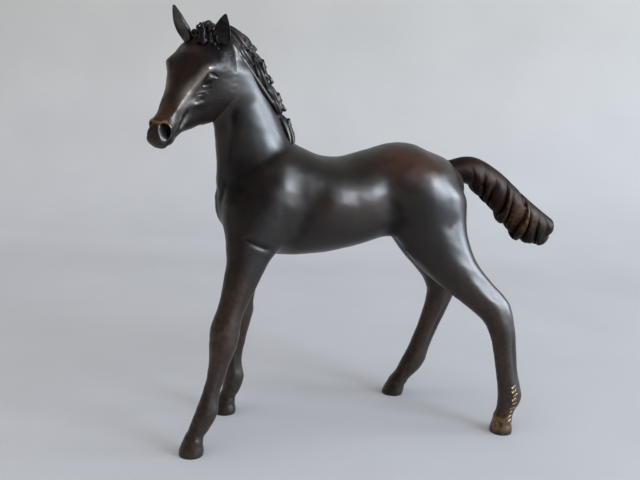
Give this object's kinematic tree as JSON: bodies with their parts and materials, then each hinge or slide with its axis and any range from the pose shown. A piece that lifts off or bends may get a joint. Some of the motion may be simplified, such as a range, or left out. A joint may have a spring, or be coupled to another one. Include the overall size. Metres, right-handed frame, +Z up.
{
  "type": "foal sculpture",
  "caption": "Small cast bronze sculpture of a standing foal, legs braced apart, head turned to its left, tail held away from the body.",
  "frame": {"origin": "middle of the bounding box's underside, on the plane that the four hooves stand on", "axes": "+X from head to tail, +Y towards the foal's right side, +Z up"},
  "size_m": [0.2292, 0.0774, 0.2158],
  "materials": {
    "bronze": "dark brown waxed patina, satin, worn golden on the nostril's rim and the hooves"
  },
  "bodies": {
    "root": {"foal": "bronze"}
  },
  "joints": []
}
